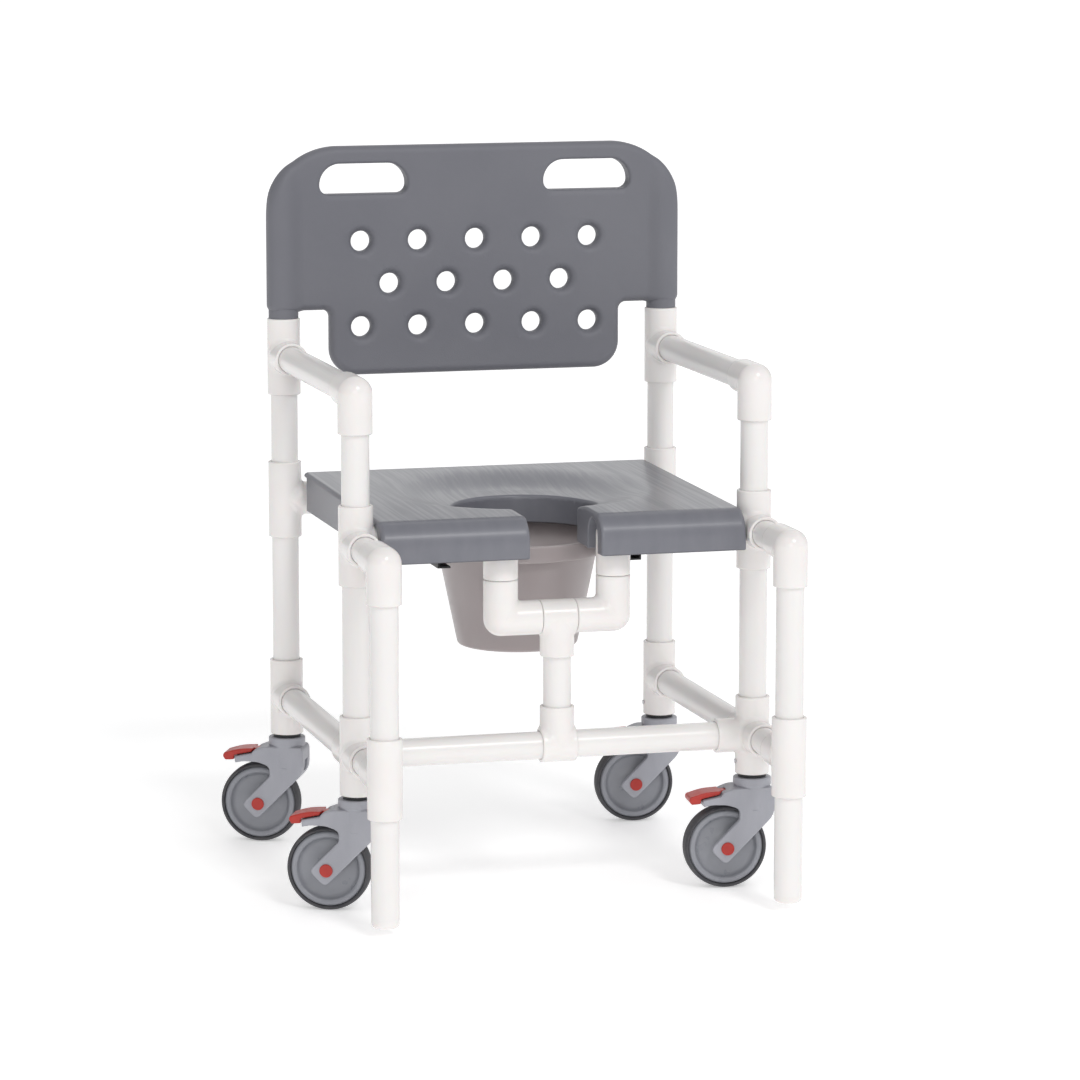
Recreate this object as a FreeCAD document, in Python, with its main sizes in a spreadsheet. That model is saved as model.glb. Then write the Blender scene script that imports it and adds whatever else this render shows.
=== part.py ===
import FreeCAD
import Part
import math
import os
import Sketcher
from FreeCAD import Placement, Rotation, Vector

# Shower and commode chair on four locking casters. Lengths are millimetres.
# +Z is up, the floor is z = 0 and the chair faces -Y. The origin lies on the floor,
# midway between the four caster stems.

SIZES = {
    # layout of the pipe frame, measured between pipe centre lines
    "half_width": 309.0,
    "half_wheelbase": 246.0,
    "outrigger_reach": 178.0,
    "low_rail_height": 235.5,
    "seat_rail_height": 552.0,
    "arm_rail_height": 778.0,
    "drop_depth": 120.4,
    "drop_half_width": 87.4,
    "post_top": 996.0,
    "foot_height": 14.0,
    # pipe and moulded fittings
    "pipe_radius": 21.08,
    "pipe_bore": 17.5,
    "fitting_radius": 26.0,
    "socket_radius": 21.13,
    "socket_stop": 27.0,
    "leg_length": 60.0,
    "slip_half_run": 27.0,
    "mouth_round": 2.5,
    "cap_height": 12.0,
    "cap_round": 7.0,
    "plug_length": 22.0,
    # caster socket inserts, stems and their screws
    "flange_radius": 21.6,
    "flange_bottom": 170.6,
    "stem_radius": 5.5,
    "stem_bottom": 119.0,
    "stem_top": 204.0,
    "stem_head_radius": 8.5,
    "stem_head_height": 4.0,
    "screw_height": 195.0,
    "screw_radius": 1.9,
    "screw_head_radius": 3.4,
    "screw_head_height": 2.0,
    "screw_reach": 15.0,
    "fit_gap": 0.05,
    # casters, in a frame with the stem on the z axis and the wheel trailing along +x
    "heading_left": 174.0,
    "heading_right": 155.0,
    "trail": 42.5,
    "wheel_radius": 63.5,
    "rim_radius": 57.0,
    "tyre_half_width": 15.0,
    "tyre_round": 5.0,
    "fork_half_width": 27.0,
    "well_half_width": 17.5,
    "well_radius": 66.5,
    "collar_radius": 29.0,
    "collar_bottom": 157.5,
    "collar_top": 170.2,
    "neck_radius": 27.8,
    "body_top": 156.0,
    "axle_radius": 4.0,
    "cap_radius": 10.0,
    "axle_cap_height": 2.5,
    "pedal_half_width": 20.0,
    "lug_half_width": 9.5,
    "lug_room_bottom": 138.0,
    "lug_room_top": 152.4,
    "pivot_reach": 38.0,
    "pivot_height": 147.0,
    "pivot_radius": 3.0,
    "pivot_half_length": 16.0,
    "arm_end_round": 9.0,
    "hood_round": 16.0,
    "tread_round": 2.0,
    "axle_cap_round": 1.2,
    "hub_radius": 12.0,
    "hub_half_width": 16.5,
    # backrest
    "back_half_width": 334.0,
    "back_top": 1106.0,
    "wing_bottom": 849.5,
    "tongue_bottom": 745.5,
    "tongue_half_width": 236.0,
    "back_thickness": 32.0,
    "back_corner": 115.3,
    "back_corner_overhang": 3.3,
    "back_shoulder": 30.0,
    "tongue_corner": 42.0,
    "step_corner": 14.0,
    "back_edge": 9.0,
    "back_wall": 4.0,
    "sleeve_radius": 24.5,
    "sleeve_bore": 21.5,
    "sleeve_top": 1010.0,
    "sleeve_bore_top": 1003.0,
    "neck_outer": 23.4,
    "neck_bottom": 838.5,
    "slot_centre": 181.5,
    "slot_length": 142.0,
    "slot_height": 48.0,
    "slot_bottom": 1031.0,
    "slot_upper_corner": 30.0,
    "slot_lower_corner": 12.0,
    "hole_radius": 15.8,
    "flare_radius": 22.0,
    "flare_depth": 8.0,
    "hole_pitch": 92.7,
    "hole_row_gap": 67.5,
    "hole_middle_row": 889.0,
    # seat shell
    "seat_half_width": 281.5,
    "seat_front": 300.0,
    "seat_rear": 238.0,
    "seat_top": 589.0,
    "plate_bottom": 582.0,
    "skirt_bottom": 536.0,
    "lip_bottom": 528.0,
    "lip_back": 214.0,
    "skirt_rear": 215.0,
    "skirt_wall": 5.0,
    "nose_height": 20.0,
    "nose_depth": 26.0,
    "throat_bottom": 529.5,
    "rib_inner": 145.0,
    "rib_outer": 155.0,
    "pad_inner": 110.0,
    "pad_outer": 230.0,
    "through_length": 200.0,
    "opening_radius": 110.0,
    "opening_centre": 58.0,
    "mouth_half_width": 55.0,
    "dish_centre": 5.0,
    "dish_radius": 215.0,
    "dish_depth": 20.0,
    "channel_radius": 26.5,
    # pail and the rails that carry it
    "pail_setback": 27.0,
    "pail_offset": 3.0,
    "pail_top": 523.5,
    "pail_bottom": 354.0,
    "pail_wall": 2.5,
    "pail_top_radius": 127.0,
    "pail_bottom_radius": 92.5,
    "band_bottom": 498.4,
    "band_radius": 134.5,
    "rail_inner": 140.0,
    "rail_outer": 160.0,
    "rail_front": 150.0,
    "rail_rear": 200.0,
    "rail_bottom": 495.5,
    "rail_top": 526.0,
    "rail_wall": 2.5,
    "lip_reach": 128.0,
    "lip_front": 105.0,
    "rail_screw_spacing": 120.0,
    "rail_screw_radius": 2.0,
    "rail_screw_head": 4.0,
    "rail_screw_length": 14.0,
}

doc = FreeCAD.newDocument("commode_chair")
sheet = doc.addObject("Spreadsheet::Sheet", "Sizes")
for row, (alias, value) in enumerate(SIZES.items(), 1):
    sheet.set(f"A{row}", alias)
    sheet.set(f"B{row}", str(value))
    sheet.setAlias(f"B{row}", alias)
doc.recompute()


class Measure:
    """A number from the sheet, or a sum of such numbers, with the expression that gives it."""

    def __init__(self, value, text):
        self.value = value
        self.text = text

    def __add__(self, other):
        return joined(self, "+", other)

    def __radd__(self, other):
        return joined(other, "+", self)

    def __sub__(self, other):
        return joined(self, "-", other)

    def __rsub__(self, other):
        return joined(other, "-", self)

    def __mul__(self, other):
        return joined(self, "*", other)

    __rmul__ = __mul__

    def __neg__(self):
        return joined(0.0, "-", self)


def as_measure(number):
    if isinstance(number, Measure):
        return number
    return Measure(float(number), f"{float(number):.6f}")


def joined(left, sign, right):
    left, right = as_measure(left), as_measure(right)
    results = {
        "+": left.value + right.value,
        "-": left.value - right.value,
        "*": left.value * right.value,
    }
    return Measure(results[sign], f"({left.text} {sign} {right.text})")


def size(alias):
    return Measure(float(sheet.get(alias)), f"Sizes.{alias}")


def bind(thing, **properties):
    for name, number in properties.items():
        thing.setExpression(name, as_measure(number).text)


def place(thing, at, turn=None):
    """Put a piece at a point whose three numbers may come from the sheet."""
    thing.Placement = Placement(Vector(*[as_measure(c).value for c in at]), turn or Rotation())
    for axis, number in zip("xyz", at):
        if isinstance(number, Measure):
            thing.setExpression(f".Placement.Base.{axis}", number.text)


# ---------------------------------------------------------------- building blocks

X_AXIS, Y_AXIS, Z_AXIS = Vector(1, 0, 0), Vector(0, 1, 0), Vector(0, 0, 1)
TOWARD = {
    "up": (2, 1, Rotation()),
    "down": (2, -1, Rotation(X_AXIS, 180)),
    "front": (1, -1, Rotation(X_AXIS, 90)),
    "back": (1, 1, Rotation(X_AXIS, -90)),
    "left": (0, 1, Rotation(Y_AXIS, 90)),
    "right": (0, -1, Rotation(Y_AXIS, -90)),
}
# Each round piece is spun on its own axis, so that its seam stays clear of the places
# where two pipes' walls cross.
SEAM_TURN = Rotation(Z_AXIS, 40)


def shifted(at, toward, distance):
    axis, sign, _ = TOWARD[toward]
    moved = list(at)
    moved[axis] = moved[axis] + sign * distance
    return moved


def cylinder(name, radius, length, at, toward="up"):
    rod = doc.addObject("Part::Cylinder", name)
    bind(rod, Radius=radius, Height=length)
    place(rod, at, TOWARD[toward][2] * SEAM_TURN)
    return rod


def cone(name, radius_near, radius_far, length, at, toward="up"):
    taper = doc.addObject("Part::Cone", name)
    bind(taper, Radius1=radius_near, Radius2=radius_far, Height=length)
    place(taper, at, TOWARD[toward][2] * SEAM_TURN)
    return taper


def ball(name, radius, at):
    sphere = doc.addObject("Part::Sphere", name)
    bind(sphere, Radius=radius)
    place(sphere, at)
    return sphere


def block(name, low, high):
    """A box between two opposite corners."""
    box = doc.addObject("Part::Box", name)
    spans = [as_measure(top) - as_measure(bottom) for bottom, top in zip(low, high)]
    bind(box, Length=spans[0], Width=spans[1], Height=spans[2])
    place(box, low)
    return box


def fuse(name, pieces):
    union = doc.addObject("Part::MultiFuse", name)
    union.Shapes = pieces
    union.Refine = True
    return union


def cut(name, base, *tools):
    """Take the tools away from the base, and make sure that each one took something."""
    for number, tool in enumerate(tools):
        difference = doc.addObject("Part::Cut", f"{name}_cut{number}")
        difference.Base, difference.Tool = base, tool
        doc.recompute()
        if difference.Shape.Volume > base.Shape.Volume - 1e-3:
            raise RuntimeError(f"{tool.Name} takes nothing from {base.Name}")
        base = difference
    return base


def circle_of(edge):
    """The circle that an edge lies on, or None. A ball's poles are edges with no curve."""
    if edge.Degenerated or not isinstance(edge.Curve, Part.Circle):
        return None
    return edge.Curve


def round_edges(name, base, radius, chosen):
    """Round the edges for which chosen(edge) is true."""
    doc.recompute()
    picked = [n for n, edge in enumerate(base.Shape.Edges, 1) if chosen(edge)]
    if not picked:
        raise RuntimeError(f"{name} rounds nothing")
    rounded = doc.addObject("Part::Fillet", name)
    rounded.Base = base
    rounded.Edges = [(n, radius.value, radius.value) for n in picked]
    return rounded


def mirrored(name, source):
    twin = doc.addObject("Part::Mirroring", name)
    twin.Source = source
    twin.Normal = X_AXIS
    return twin


NODES = []


def node(name, *pieces):
    """Name one sub-part. Several pieces stay separate solids in it."""
    piece = pieces[0]
    if len(pieces) > 1:
        piece = doc.addObject("Part::Compound", name)
        piece.Links = list(pieces)
    piece.Label = name
    NODES.append(piece)
    return piece


def pair(name, piece):
    return node(name, piece, mirrored(f"{name}_twin", piece))


def body_with_sketch(name, plane, points):
    """A body and a closed sketch in one of its own planes, each corner bound to the sheet."""
    body = doc.addObject("PartDesign::Body", name)
    sketch = body.newObject("Sketcher::SketchObject", f"{name}_sketch")
    origin_plane = next(f for f in body.Origin.OriginFeatures if f.Role == plane)
    sketch.AttachmentSupport = (origin_plane, "")
    sketch.MapMode = "FlatFace"
    corners = [[as_measure(c) for c in point] for point in points]
    spots = [Vector(a.value, b.value, 0) for a, b in corners]
    for start, end in zip(spots, spots[1:] + spots[:1]):
        sketch.addGeometry(Part.LineSegment(start, end))
    count = len(spots)
    for line in range(count):
        sketch.addConstraint(Sketcher.Constraint("Coincident", line, 2, (line + 1) % count, 1))
    for line, corner in enumerate(corners):
        for kind, number in zip(("DistanceX", "DistanceY"), corner):
            ends = (-1, 1, line, 1) if number.value >= 0 else (line, 1, -1, 1)
            number = number if number.value >= 0 else -number
            index = sketch.addConstraint(Sketcher.Constraint(kind, *ends, number.value))
            sketch.setExpression(f"Constraints[{index}]", number.text)
    return body, sketch


def padded(name, points, half_width):
    """A side outline, drawn in the XZ plane, that reaches half_width to each side of it."""
    body, sketch = body_with_sketch(name, "XZ_Plane", points)
    pad = body.newObject("PartDesign::Pad", f"{name}_pad")
    pad.Profile = sketch
    bind(pad, Length=2 * half_width)
    pad.Midplane = True
    doc.recompute()
    return body


def revolved(name, points):
    """A solid of revolution about Z: the outline's numbers are radius and height."""
    body, sketch = body_with_sketch(name, "XZ_Plane", points)
    turn = body.newObject("PartDesign::Revolution", f"{name}_turn")
    turn.Profile = sketch
    turn.ReferenceAxis = (sketch, ["V_Axis"])
    turn.Angle = 360
    doc.recompute()
    return body


# ---------------------------------------------------------------- pipe frame

half_width, half_wheelbase = size("half_width"), size("half_wheelbase")
low, seat_height, arm = size("low_rail_height"), size("seat_rail_height"), size("arm_rail_height")
rear_y, front_y = half_wheelbase, -half_wheelbase
outrigger_y = front_y - size("outrigger_reach")
pipe_radius, fitting_radius = size("pipe_radius"), size("fitting_radius")
stop, leg = size("socket_stop"), size("leg_length")
gap = size("fit_gap")
MARGIN = 1.0


def pipe(name, start, toward, length):
    wall = cylinder(f"{name}_wall", pipe_radius, length, start, toward)
    bore = cylinder(f"{name}_bore", size("pipe_bore"), length, start, toward)
    return cut(name, wall, bore)


def pipe_between(name, hub, toward, other_hub):
    """A pipe from the stop in one fitting to the stop in the next one along."""
    axis, sign, _ = TOWARD[toward]
    length = sign * (other_hub[axis] - hub[axis]) - 2 * stop
    return pipe(name, shifted(hub, toward, stop), toward, length)


def round_mouths(name, fitting, mouths):
    """Round the outer edge of each socket mouth."""
    centres = [Vector(*[as_measure(c).value for c in mouth]) for mouth in mouths]

    def is_mouth(edge):
        circle = circle_of(edge)
        if circle is None or abs(circle.Radius - fitting_radius.value) > 0.01:
            return False
        return any((circle.Center - centre).Length < 0.01 for centre in centres)

    return round_edges(name, fitting, size("mouth_round"), is_mouth)


def fitting(name, hub, legs, ball_corner=False):
    """A moulded socket fitting whose legs leave its hub in the named directions."""
    walls = [cylinder(f"{name}_{d}", fitting_radius, leg, hub, d) for d in legs]
    bores = [cylinder(f"{name}_{d}_bore", size("pipe_bore"), leg, hub, d) for d in legs]
    socket_depth = leg - stop + MARGIN
    sockets = [
        cylinder(f"{name}_{d}_socket", size("socket_radius"), socket_depth, shifted(hub, d, stop), d)
        for d in legs
    ]
    if ball_corner:
        walls.append(ball(f"{name}_corner", fitting_radius, hub))
        bores.append(ball(f"{name}_inner_corner", size("pipe_bore"), hub))
    hollow = cut(name, fuse(f"{name}_walls", walls), fuse(f"{name}_hollow", bores + sockets))
    return round_mouths(f"{name}_rounded", hollow, [shifted(hub, d, leg) for d in legs])


def slip_tee(name, hub, outlet):
    """A tee whose run slides over a pipe that passes through along X."""
    half_run = size("slip_half_run")
    ends = [shifted(hub, d, half_run) for d in ("left", "right")]
    run = cylinder(f"{name}_run", fitting_radius, 2 * half_run, ends[1], "left")
    wall = cylinder(f"{name}_outlet", fitting_radius, leg, hub, outlet)
    start = shifted(ends[1], "right", MARGIN)
    through = cylinder(f"{name}_through", size("socket_radius"), 2 * (half_run + MARGIN), start, "left")
    bore = cylinder(f"{name}_bore", size("pipe_bore"), leg, hub, outlet)
    socket_depth = leg - stop + MARGIN
    socket = cylinder(
        f"{name}_socket", size("socket_radius"), socket_depth, shifted(hub, outlet, stop), outlet
    )
    walls = fuse(f"{name}_walls", [run, wall])
    hollow = cut(name, walls, fuse(f"{name}_hollow", [through, bore, socket]))
    return round_mouths(f"{name}_rounded", hollow, ends + [shifted(hub, outlet, leg)])


def screw_hole(name, y):
    """The hole that an insert's screw passes, from the inner side of a left-hand socket."""
    start = [half_width - fitting_radius - MARGIN, y, size("screw_height")]
    return cylinder(name, size("screw_radius") + gap, size("screw_reach") + MARGIN, start, "left")


def with_twins(name, pieces):
    """A node made of some left-hand pieces and their mirror images on the right."""
    return node(name, *pieces, *[mirrored(f"{piece.Name}_twin", piece) for piece in pieces])


def build_frame():
    heights = {"low": low, "seat": seat_height, "arm": arm}
    rear = {key: [half_width, rear_y, height] for key, height in heights.items()}
    front = {key: [half_width, front_y, height] for key, height in heights.items()}
    outrigger = {key: [half_width, outrigger_y, height] for key, height in heights.items()}

    rear_low = fitting("rear_low_tee", rear["low"], ["up", "down", "front"])
    front_low = fitting("front_low_cross", front["low"], ["up", "down", "front", "back", "right"])
    pair("rear_lower_tees", cut("rear_low", rear_low, screw_hole("rear_low_screw_hole", rear_y)))
    pair("front_lower_crosses", cut("front_low", front_low, screw_hole("front_low_screw_hole", front_y)))
    pair("rear_seat_tees", fitting("rear_seat_tee", rear["seat"], ["up", "down", "right"]))
    pair("front_seat_crosses", fitting("front_seat_cross", front["seat"], ["up", "down", "front", "right"]))
    pair("arm_tees", fitting("arm_tee", rear["arm"], ["up", "down", "front"]))
    pair("arm_elbows", fitting("arm_elbow", front["arm"], ["back", "down"], ball_corner=True))
    pair("outrigger_elbows",
         fitting("outrigger_elbow", outrigger["seat"], ["back", "down"], ball_corner=True))
    pair("outrigger_tees", fitting("outrigger_tee", outrigger["low"], ["up", "down", "back"]))

    with_twins("rear_upright_pipes", [
        pipe_between("rear_lower_pipe", rear["low"], "up", rear["seat"]),
        pipe_between("rear_upper_pipe", rear["seat"], "up", rear["arm"]),
    ])
    with_twins("front_upright_pipes", [
        pipe_between("front_lower_pipe", front["low"], "up", front["seat"]),
        pipe_between("front_upper_pipe", front["seat"], "up", front["arm"]),
    ])
    with_twins("outrigger_links", [
        pipe_between("upper_link", outrigger["seat"], "back", front["seat"]),
        pipe_between("lower_link", outrigger["low"], "back", front["low"]),
    ])
    pair("arm_rails", pipe_between("arm_rail", front["arm"], "back", rear["arm"]))
    pair("lower_side_rails", pipe_between("lower_side_rail", front["low"], "back", rear["low"]))
    pair("outrigger_posts", pipe_between("outrigger_post", outrigger["low"], "up", outrigger["seat"]))
    post_start = shifted(rear["arm"], "up", stop)
    pair("back_posts", pipe("back_post", post_start, "up", size("post_top") - arm - stop))
    far_side = [-half_width, rear_y, seat_height]
    node("rear_seat_rail", pipe_between("rear_rail", far_side, "left", rear["seat"]))

    foot_height, cap_height = size("foot_height"), size("cap_height")
    leg_end = foot_height + cap_height
    leg_start = [half_width, outrigger_y, leg_end]
    pair("outrigger_legs", pipe("outrigger_leg", leg_start, "up", low - stop - leg_end))
    sole = [half_width, outrigger_y, foot_height]
    foot = cylinder("foot_cap", pipe_radius, cap_height, sole)
    plug = cylinder("foot_plug", size("pipe_bore") - gap, cap_height + size("plug_length"), sole)

    def is_sole(edge):
        circle = circle_of(edge)
        if circle is None or circle.Radius < pipe_radius.value - 0.01:
            return False
        return circle.Center.z < foot_height.value + 0.01

    pair("leg_caps", round_edges("foot_rounded", fuse("foot", [foot, plug]), size("cap_round"), is_sole))


def build_front_drop():
    """The loop that carries the seat's front rails down to the cross rail, clear of the pail."""
    reach, drop = size("drop_half_width"), size("drop_depth")
    upper = [reach, front_y, seat_height]
    lower = [reach, front_y, seat_height - drop]
    centre = [as_measure(0), front_y, seat_height - drop]
    cross_centre = [as_measure(0), front_y, low]
    ends = [[-half_width, front_y, low], [half_width, front_y, low]]
    with_twins("drop_elbows", [
        fitting("upper_drop_elbow", upper, ["left", "down"], ball_corner=True),
        fitting("lower_drop_elbow", lower, ["up", "right"], ball_corner=True),
    ])
    pair("drop_nipples", pipe_between("drop_nipple", lower, "up", upper))
    node("drop_cross_pipe", pipe_between("drop_cross", [-reach, front_y, lower[2]], "left", lower))
    node("drop_tee", slip_tee("drop_slip_tee", centre, "down"))
    node("drop_pipe", pipe_between("drop_centre_pipe", cross_centre, "up", centre))
    node("cross_rail_tee", slip_tee("cross_slip_tee", cross_centre, "up"))
    node("front_cross_rail", pipe_between("cross_rail", ends[0], "left", ends[1]))
    seat_hub = [half_width, front_y, seat_height]
    pair("front_seat_rails", pipe_between("front_seat_rail", upper, "left", seat_hub))


# ---------------------------------------------------------------- casters

def build_inserts():
    """Black socket inserts, the steel stems that they hold and their locking screws."""
    stem_bottom, screw_height = size("stem_bottom"), size("screw_height")
    inserts, stems, screws = [], [], []
    for name, y in (("rear", rear_y), ("front", front_y)):
        flange_bottom, mouth = size("flange_bottom"), low - leg
        base = [half_width, y, flange_bottom]
        plug = cylinder(f"{name}_plug", pipe_radius, low - stop - flange_bottom, base)
        flange = cylinder(f"{name}_flange", size("flange_radius"), mouth - flange_bottom, base)
        stem_hole = cylinder(f"{name}_stem_hole", size("stem_radius") + gap, low, [half_width, y, 0.0])
        hole = screw_hole(f"{name}_insert_screw_hole", y)
        blank = fuse(f"{name}_insert_blank", [plug, flange])
        inserts.append(cut(f"{name}_insert", blank, stem_hole, hole))

        foot = [half_width, y, stem_bottom]
        rod = cylinder(f"{name}_stem_rod", size("stem_radius"), size("stem_top") - stem_bottom, foot)
        head = cylinder(f"{name}_stem_head", size("stem_head_radius"), size("stem_head_height"), foot)
        stems.append(fuse(f"{name}_stem", [rod, head]))

        seat = [half_width - fitting_radius, y, screw_height]
        shank = cylinder(f"{name}_screw_shank", size("screw_radius"), size("screw_reach"), seat, "left")
        screw_head = cylinder(
            f"{name}_screw_head", size("screw_head_radius"), size("screw_head_height"), seat, "right"
        )
        screws.append(fuse(f"{name}_screw", [shank, screw_head]))
    with_twins("caster_inserts", inserts)
    with_twins("caster_stems", stems)
    with_twins("insert_screws", screws)


axle_x, axle_z = size("trail"), size("wheel_radius")
pivot = (size("pivot_reach"), size("pivot_height"))


def make_fork():
    """Fork: collar, hood and two slanted arms, all in one moulding."""
    body_top = size("body_top")
    arm_low = (axle_x + 2.5, axle_z - 25.5)
    arm_high = (axle_x + 26.5, axle_z - 1.5)
    hood_front = [(23.5, 108), (23.5, 124), (axle_x, 130.5), (66, 131.5), (79.5, 128.5), (80.5, 139)]
    hood_top = [(52.5, 144.5), (49, 150), (34, body_top), (-28, body_top), (-31, 150)]
    outline = [(-31, 114.5), arm_low, arm_high] + hood_front + hood_top
    side = padded("fork_side", outline, size("fork_half_width"))
    arm_end = axle_z.value - 1.0

    def at_arm_end(edge):
        box = edge.BoundBox
        return box.YLength > 50 and box.XLength < 0.01 and box.ZLength < 0.01 and box.ZMax < arm_end

    def at_back(edge):
        box = edge.BoundBox
        return box.ZLength > 30 and box.XMax < -30.9

    side = round_edges("fork_arm_ends", side, size("arm_end_round"), at_arm_end)
    side = round_edges("fork_back", side, size("hood_round"), at_back)
    collar_bottom = size("collar_bottom")
    collar = cylinder("fork_collar", size("collar_radius"), size("collar_top") - collar_bottom,
                      [0, 0, collar_bottom])
    neck = cylinder("fork_neck", size("neck_radius"), collar_bottom - 120, [0, 0, 120])
    solid = fuse("fork_blank", [side, collar, neck])

    well = cylinder("fork_well", size("well_radius"), 2 * size("well_half_width"),
                    [axle_x, -size("well_half_width"), axle_z], "back")
    stem_bore = cylinder("fork_stem_bore", size("stem_radius") + gap, 200, [0, 0, 0])
    head_recess = cylinder("fork_head_recess", size("stem_head_radius") + MARGIN,
                           size("stem_bottom") + 5, [0, 0, 0])
    axle_bore = cylinder("fork_axle_bore", size("axle_radius") + gap, 80, [axle_x, -40, axle_z], "back")
    slot_reach = size("lug_half_width") + 0.5
    lug_slot = block("fork_lug_slot", [28, -slot_reach, size("lug_room_bottom")],
                     [62, slot_reach, size("lug_room_top")])
    pivot_reach = size("pivot_half_length") + 0.5
    pivot_bore = cylinder("fork_pivot_bore", size("pivot_radius") + gap, 2 * pivot_reach,
                          [pivot[0], -pivot_reach, pivot[1]], "back")
    window = block("fork_window", [-40, -10, 116], [-24, 10, 134])
    return cut("fork", solid, well, stem_bore, head_recess, axle_bore, lug_slot, pivot_bore, window)


def make_pedal():
    """Brake pedal, with the lug and trunnion that it turns on inside the hood."""
    underside = [(50.8, 151.6), (54, 145.8), (82, 139.8), (83, 132.6)]
    tip = [(97, 131.6), (101, 137.5), (99.5, 143), (76, 150.2)]
    tread = padded("pedal_tread", underside + tip, size("pedal_half_width"))

    def crosswise(edge):
        box = edge.BoundBox
        return box.YLength > 30 and box.XMin > 90

    tread = round_edges("pedal_rounded", tread, size("tread_round"), crosswise)
    under_tread = [(52, 150.6), (60, 149), (55, 146.2)]
    turns = [(1, -5.5), (-5, -3), (-4, 2.5), (2, 4)]
    round_pivot = [(pivot[0] + along, pivot[1] + up) for along, up in turns]
    lug = padded("pedal_lug", under_tread + round_pivot, size("lug_half_width"))
    trunnion = cylinder("pedal_trunnion", size("pivot_radius"), 2 * size("pivot_half_length"),
                        [pivot[0], -size("pivot_half_length"), pivot[1]], "back")
    return fuse("pedal", [tread, lug, trunnion])


def make_wheel():
    """Wheel: hub, dished web and rim, turned about its own axis and then laid level."""
    bore, rim = size("axle_radius") + gap, size("rim_radius")
    hub, hub_half = size("hub_radius"), size("hub_half_width")
    web = [(16, 9), (32, 5), (44, 6), (47, 12.5)]
    half = [(bore, hub_half), (hub, hub_half)] + web + [(rim - 1.5, 13.5), (rim, 12)]
    outline = half + [(radius, -height) for radius, height in reversed(half)]
    wheel = revolved("wheel_turned", outline)
    return laid_on_axle(wheel)


def make_tyre():
    rim, tread, side = size("rim_radius") + gap, size("wheel_radius"), size("tyre_half_width")
    body = revolved("tyre_turned", [(rim, side), (tread, side), (tread, -side), (rim, -side)])

    def at_shoulder(edge):
        circle = circle_of(edge)
        return circle is not None and circle.Radius > tread.value - 0.01

    rounded = round_edges("tyre_rounded", body, size("tyre_round"), at_shoulder)
    return laid_on_axle(rounded)


def laid_on_axle(piece):
    """Turn a piece's z axis to lie along the axle."""
    doc.recompute()
    laid = doc.addObject("Part::Compound", f"{piece.Name}_laid")
    laid.Links = [piece]
    place(laid, [axle_x, 0, axle_z], Rotation(X_AXIS, 90))
    return laid


def make_axle():
    half = size("fork_half_width")
    return cylinder("axle_rod", size("axle_radius"), 2 * half, [axle_x, -half, axle_z], "back")


def make_axle_caps():
    caps = []
    for name, toward in (("near", "front"), ("far", "back")):
        start = shifted([axle_x, as_measure(0), axle_z], toward, size("fork_half_width"))
        disc = cylinder(f"{name}_cap_disc", size("cap_radius"), size("axle_cap_height"), start, toward)

        def is_outer(edge, toward=toward):
            sign = TOWARD[toward][1]
            outer = sign * (size("fork_half_width") + size("axle_cap_height")).value
            circle = circle_of(edge)
            return circle is not None and abs(circle.Center.y - outer) < 0.01

        caps.append(round_edges(f"{name}_cap", disc, size("axle_cap_round"), is_outer))
    both = doc.addObject("Part::Compound", "axle_cap_pair")
    both.Links = caps
    return both


def build_casters():
    masters = {
        "fork": make_fork(),
        "brake_pedal": make_pedal(),
        "axle": make_axle(),
        "axle_caps": make_axle_caps(),
        "wheel": make_wheel(),
        "tyre": make_tyre(),
    }
    corners = {
        "front_right": (-1, -1),
        "front_left": (1, -1),
        "rear_right": (-1, 1),
        "rear_left": (1, 1),
    }
    for corner, (side, end) in corners.items():
        heading = size("heading_left") if side > 0 else size("heading_right")
        for part_name, master in masters.items():
            copy = doc.addObject("Part::Compound", f"{part_name}_{corner}")
            copy.Links = [master]
            place(copy, [side * half_width, end * half_wheelbase, 0], Rotation(Z_AXIS, heading.value))
            node(copy.Name, copy)


# ---------------------------------------------------------------- backrest

def sides(near, far):
    """The two spans along X that a piece has on the left and the right of the chair."""
    return {"left": (near, far), "right": (-far, -near)}


def across(edge):
    """Edges that run straight through the thickness of the back, along Y."""
    box = edge.BoundBox
    return box.YLength > 1 and box.XLength < 0.01 and box.ZLength < 0.01


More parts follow.
